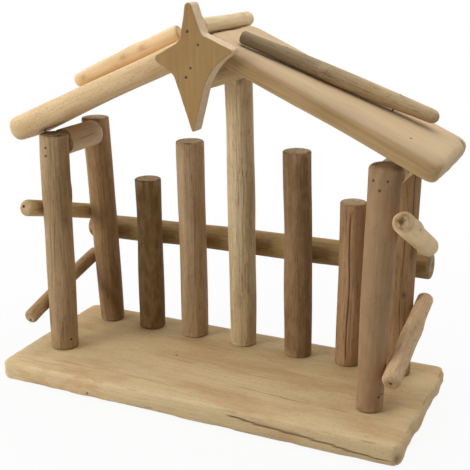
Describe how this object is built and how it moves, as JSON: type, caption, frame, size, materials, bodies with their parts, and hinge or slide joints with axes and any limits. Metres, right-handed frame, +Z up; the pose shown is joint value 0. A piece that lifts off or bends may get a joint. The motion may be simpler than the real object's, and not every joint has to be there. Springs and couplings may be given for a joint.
{
  "type": "nativity stable",
  "caption": "Rustic open-fronted nativity stable of round driftwood sticks nailed to a flat board, with a picket back wall, a pitched plank roof and a hollow-sided star on the gable.",
  "frame": {"origin": "middle of the base board's flat underside", "axes": "+Z up, +X along the board to the right of a viewer at the open front, +Y from the open front to the picket wall"},
  "size_m": [0.3148, 0.1322, 0.2753],
  "materials": {
    "base_wood": "bare, sanded, matte",
    "pale_wood": "bare peeled driftwood, matte",
    "brown_wood": "bare peeled driftwood, matte",
    "star_wood": "bare, sanded, matte",
    "nail_steel": "dull plain wire"
  },
  "bodies": {
    "root": {"base_board": "base_wood", "front_left_post": "brown_wood", "front_right_post": "brown_wood", "rear_left_post": "brown_wood", "rear_right_post": "brown_wood", "outer_left_picket": "brown_wood", "inner_left_picket": "brown_wood", "inner_right_picket": "brown_wood", "outer_right_picket": "brown_wood", "king_post": "brown_wood", "back_rail": "brown_wood", "left_side_rail": "brown_wood", "right_side_rail": "brown_wood", "left_brace": "brown_wood", "right_brace": "brown_wood", "left_top_plate": "brown_wood", "right_top_plate": "brown_wood", "ridge_beam": "brown_wood", "left_roof_plank": "pale_wood", "right_roof_plank": "pale_wood", "left_batten": "pale_wood", "right_batten": "pale_wood", "ridge_stick": "pale_wood", "star": "star_wood", "base_nails": "nail_steel", "back_rail_brads": "nail_steel", "side_rail_brads": "nail_steel", "plate_brads": "nail_steel", "roof_brads": "nail_steel", "star_brads": "nail_steel"}
  },
  "joints": []
}
